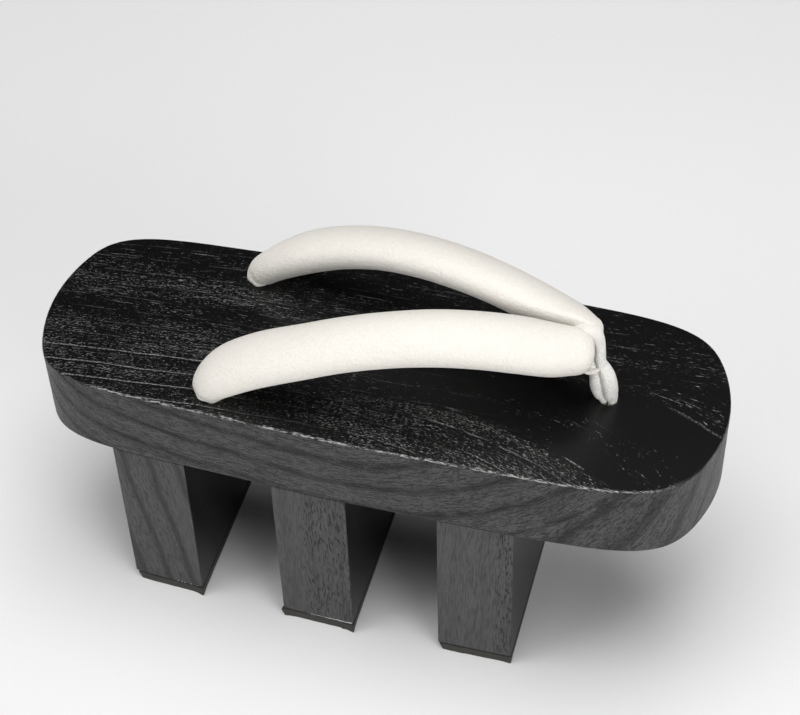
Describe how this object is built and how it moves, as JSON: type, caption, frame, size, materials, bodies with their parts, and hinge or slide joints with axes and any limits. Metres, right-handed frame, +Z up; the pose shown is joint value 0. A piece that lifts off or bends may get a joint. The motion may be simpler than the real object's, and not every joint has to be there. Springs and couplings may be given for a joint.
{
  "type": "geta sandal",
  "caption": "Black lacquered wooden sandal on tall straight teeth with rubber pads, and a padded pale leather thong tied down by a toe loop.",
  "frame": {"origin": "on the ground, under the middle of the foot board's length and width", "axes": "+X along the board to the toe, +Y to the wearer's left, +Z up"},
  "size_m": [0.24, 0.0854, 0.1426],
  "materials": {
    "lacquer": "black lacquer over open grain, satin",
    "stained_wood": "black stain with the grain showing, dull",
    "pad_rubber": "matt, hand-cut edges",
    "strap_leather": "cream, fine grained, soft",
    "loop_suede": "pale suede, short nap",
    "knot_cord": "twisted cotton cord"
  },
  "bodies": {
    "root": {"foot_board": "lacquer", "tooth_heel": "stained_wood", "tooth_middle": "stained_wood", "tooth_toe": "stained_wood", "pad_heel": "pad_rubber", "pad_middle": "pad_rubber", "pad_toe": "pad_rubber", "thong_straps": "strap_leather", "toe_loop": "loop_suede", "knot_toe": "knot_cord", "knot_rear_left": "knot_cord", "knot_rear_right": "knot_cord"}
  },
  "joints": []
}
